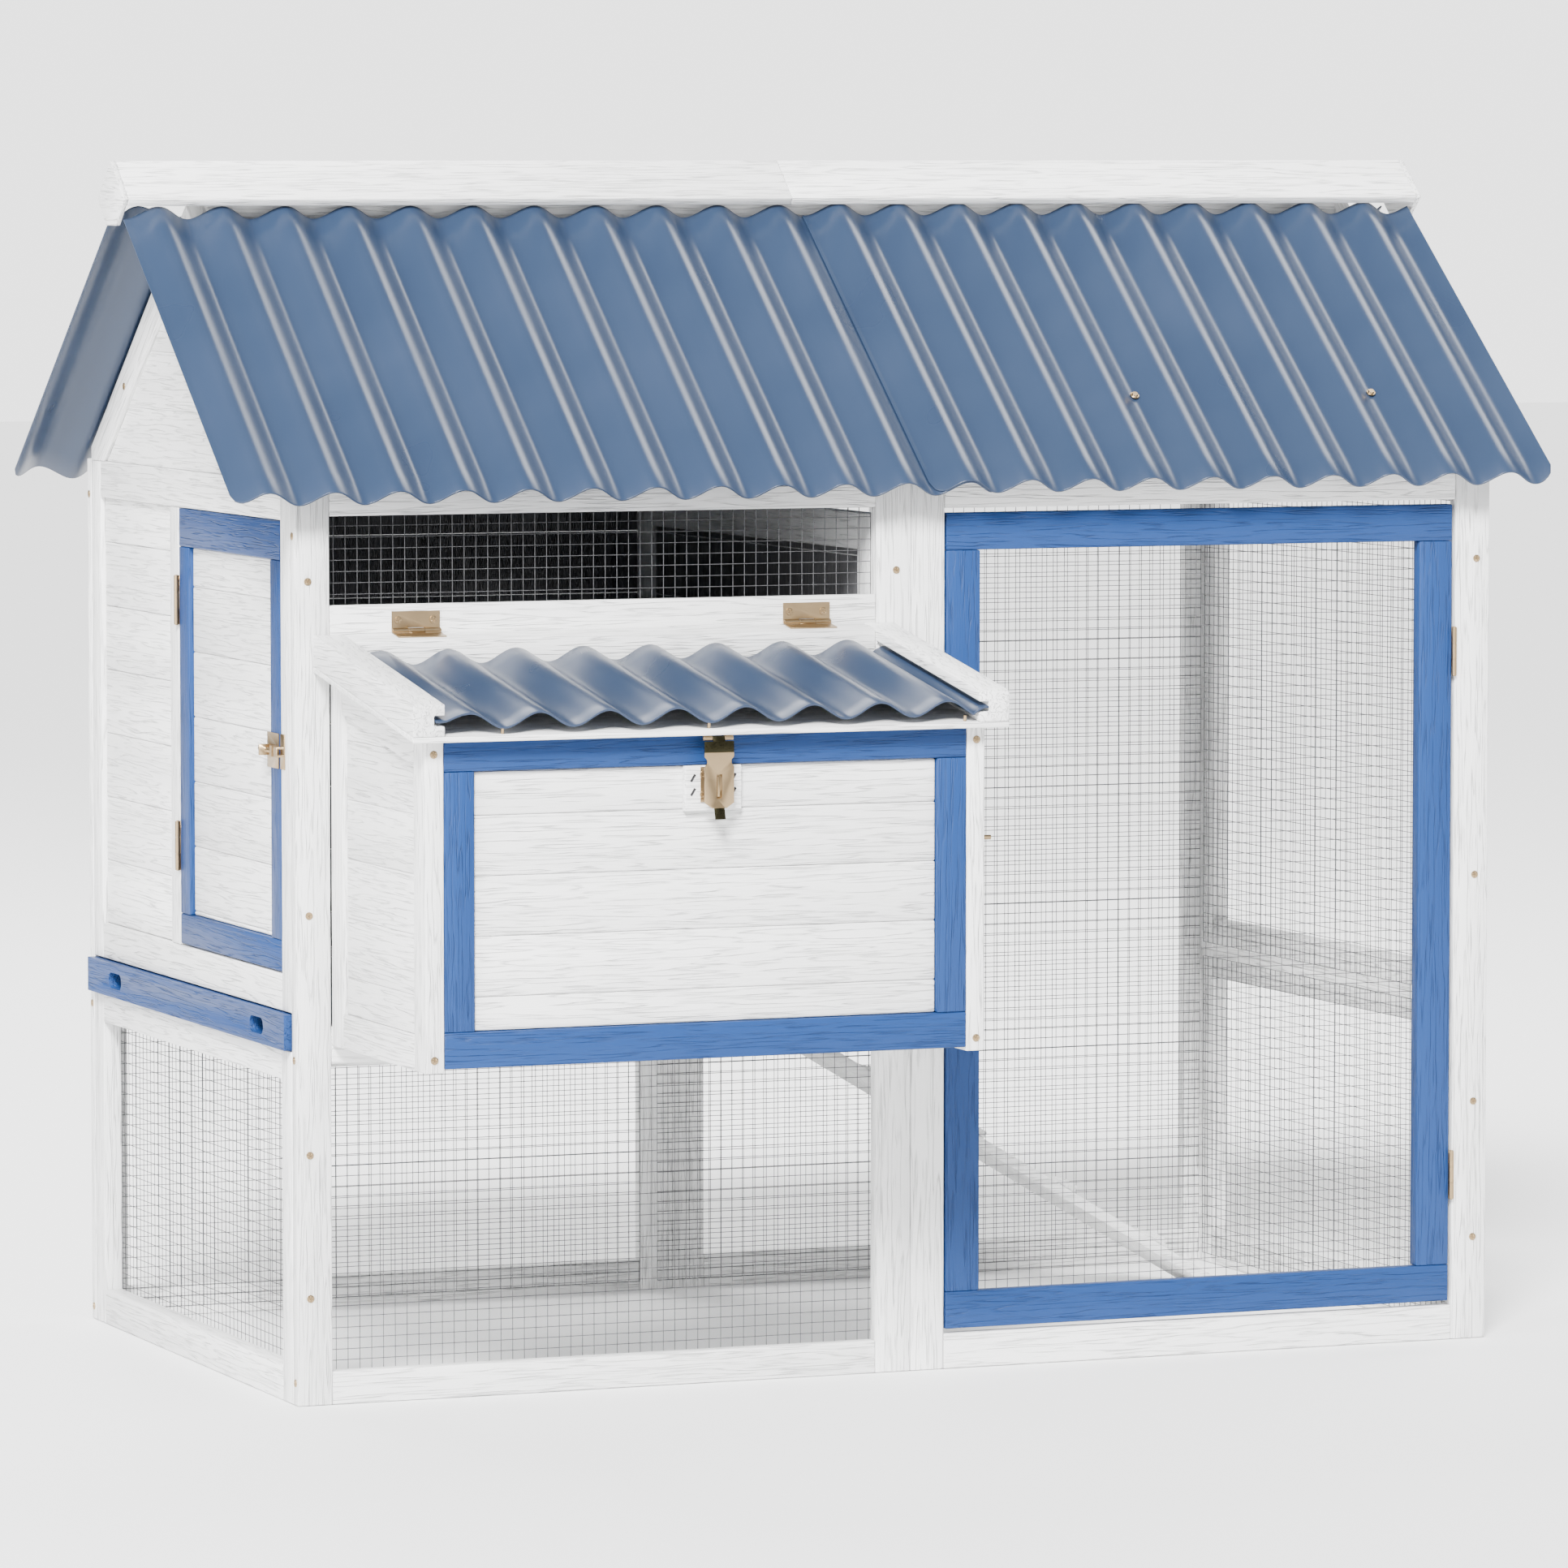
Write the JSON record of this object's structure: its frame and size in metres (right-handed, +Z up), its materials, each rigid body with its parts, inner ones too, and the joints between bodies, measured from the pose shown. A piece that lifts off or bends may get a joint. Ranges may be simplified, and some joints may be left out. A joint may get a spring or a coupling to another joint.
{
  "type": "chicken coop",
  "caption": "Raised timber chicken coop with a hinged nest box, side door, pull-out tray and a mesh run with a door, under one corrugated gable roof.",
  "frame": {"origin": "middle of the bounding box seen from above, on the ground", "axes": "+X along the front to the right, from the house to the run; +Y from the nest box to the back; +Z up"},
  "size_m": [1.5, 1.0634, 1.2676],
  "materials": {
    "blue_timber": "blue paint on timber, satin",
    "brass_fittings": "brushed, pale",
    "corrugated_sheet": "grey-blue, satin to glossy",
    "tray_pan": "galvanised sheet",
    "white_timber": "white paint on timber with its grain showing, satin",
    "wire_mesh": "grey welded wire"
  },
  "bodies": {
    "coop": {"front_left_frame": "white_timber", "front_right_frame": "white_timber", "back_left_frame": "white_timber", "back_right_frame": "white_timber", "left_lower_frame": "white_timber", "left_upper_frame": "white_timber", "right_lower_frame": "white_timber", "right_upper_frame": "white_timber", "gable_rakes": "white_timber", "left_gable_boards": "white_timber", "right_gable_boards": "white_timber", "left_wall_boards": "white_timber", "back_wall_boards": "white_timber", "partition_frame": "white_timber", "partition_boards": "white_timber", "vent_mesh": "wire_mesh", "front_mesh": "wire_mesh", "back_left_mesh": "wire_mesh", "back_right_mesh": "wire_mesh", "left_mesh": "wire_mesh", "right_meshes": "wire_mesh", "tray_runners": "white_timber", "ramp_board": "white_timber", "ramp_cleats": "white_timber", "ramp_hooks": "brass_fittings", "ridge_beam": "white_timber", "roof_purlins": "white_timber", "roof_sheet_front_left": "corrugated_sheet", "roof_sheet_front_right": "corrugated_sheet", "roof_sheet_back_left": "corrugated_sheet", "roof_sheet_back_right": "corrugated_sheet", "roof_screws": "brass_fittings", "ridge_cap_front": "white_timber", "ridge_cap_back": "white_timber", "ridge_end_plates": "white_timber", "nest_side_frames": "white_timber", "nest_side_boards": "white_timber", "nest_front_frame": "blue_timber", "nest_front_boards": "white_timber", "nest_floor": "white_timber", "nest_divider": "white_timber", "lock_block": "white_timber", "lock_staple": "brass_fittings", "fixed_hinge_leaves": "brass_fittings", "bolt_keepers": "brass_fittings", "frame_screws": "brass_fittings"},
    "run_door": {"run_door_frame": "blue_timber", "run_door_mesh": "wire_mesh", "run_door_fittings": "brass_fittings"},
    "run_bolt": {"run_door_bolt": "brass_fittings"},
    "side_door": {"side_door_frame": "blue_timber", "side_door_boards": "white_timber", "side_door_fittings": "brass_fittings"},
    "side_bolt": {"side_door_bolt": "brass_fittings"},
    "nest_lid": {"nest_lid_frame": "white_timber", "nest_lid_sheet": "corrugated_sheet", "nest_lid_fittings": "brass_fittings"},
    "hasp": {"hasp_strap": "brass_fittings"},
    "tray": {"tray_front": "blue_timber", "tray_pan": "tray_pan"}
  },
  "joints": [
    {"name": "run_door_hinge", "type": "hinge", "parent": "coop", "child": "run_door", "pos_m": [0.6395, -0.22493, 0.46], "axis": [0, 0, 1], "range_deg": [0, 170]},
    {"name": "run_bolt_slide", "type": "slide", "parent": "run_door", "child": "run_bolt", "axis": [1, 0, 0], "range_m": [-0.014, 0]},
    {"name": "side_door_hinge", "type": "hinge", "parent": "coop", "child": "side_door", "pos_m": [-0.6706, 0.16057, 0.675], "axis": [0, 0, -1], "range_deg": [0, 170]},
    {"name": "side_bolt_slide", "type": "slide", "parent": "side_door", "child": "side_bolt", "axis": [0, 1, 0], "range_m": [-0.014, 0]},
    {"name": "nest_lid_hinge", "type": "hinge", "parent": "coop", "child": "nest_lid", "pos_m": [-0.33, -0.22533, 0.7903], "axis": [-1, 0, 0], "range_deg": [0, 80]},
    {"name": "hasp_hinge", "type": "hinge", "parent": "nest_lid", "child": "hasp", "pos_m": [-0.32625, -0.52493, 0.69453], "axis": [-1, 0, 0], "range_deg": [-10, 70]},
    {"name": "tray_slide", "type": "slide", "parent": "coop", "child": "tray", "axis": [-1, 0, 0], "range_m": [0, 0.55]}
  ]
}
